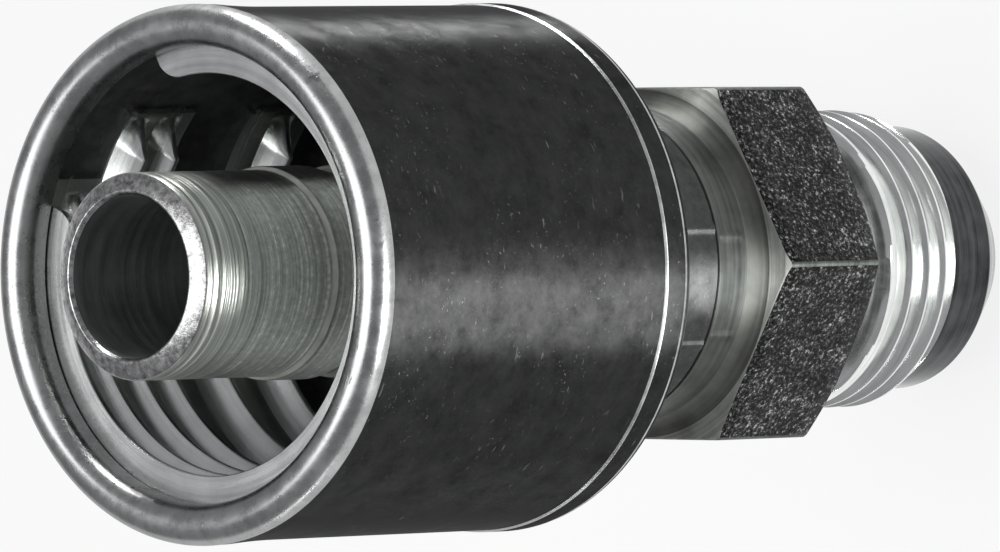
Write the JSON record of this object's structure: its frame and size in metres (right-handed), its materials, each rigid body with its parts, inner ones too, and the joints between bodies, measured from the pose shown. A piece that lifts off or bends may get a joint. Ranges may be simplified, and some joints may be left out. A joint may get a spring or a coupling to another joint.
{
  "type": "crimp hose fitting",
  "caption": "Straight crimp hose fitting with a serrated nipple in a ferrule, a grip insert, a wrench hex and a 37 degree male flare end.",
  "frame": {"origin": "centre of the end face of the 37 degree nose, which the part stands on", "axes": "+Z along the axis of the fitting from the nose to the tip of the hose nipple; -Y towards a corner of the wrench hex"},
  "size_m": [0.0332, 0.0332, 0.0731],
  "materials": {
    "zinc_plated_steel": "satin zinc plating",
    "dark_finished_steel": "dark satin, worn bright on the bead",
    "bright_sheet_steel": "satin zinc plating"
  },
  "bodies": {
    "root": {"stem": "zinc_plated_steel", "ferrule": "dark_finished_steel", "grip_insert": "bright_sheet_steel"}
  },
  "joints": []
}
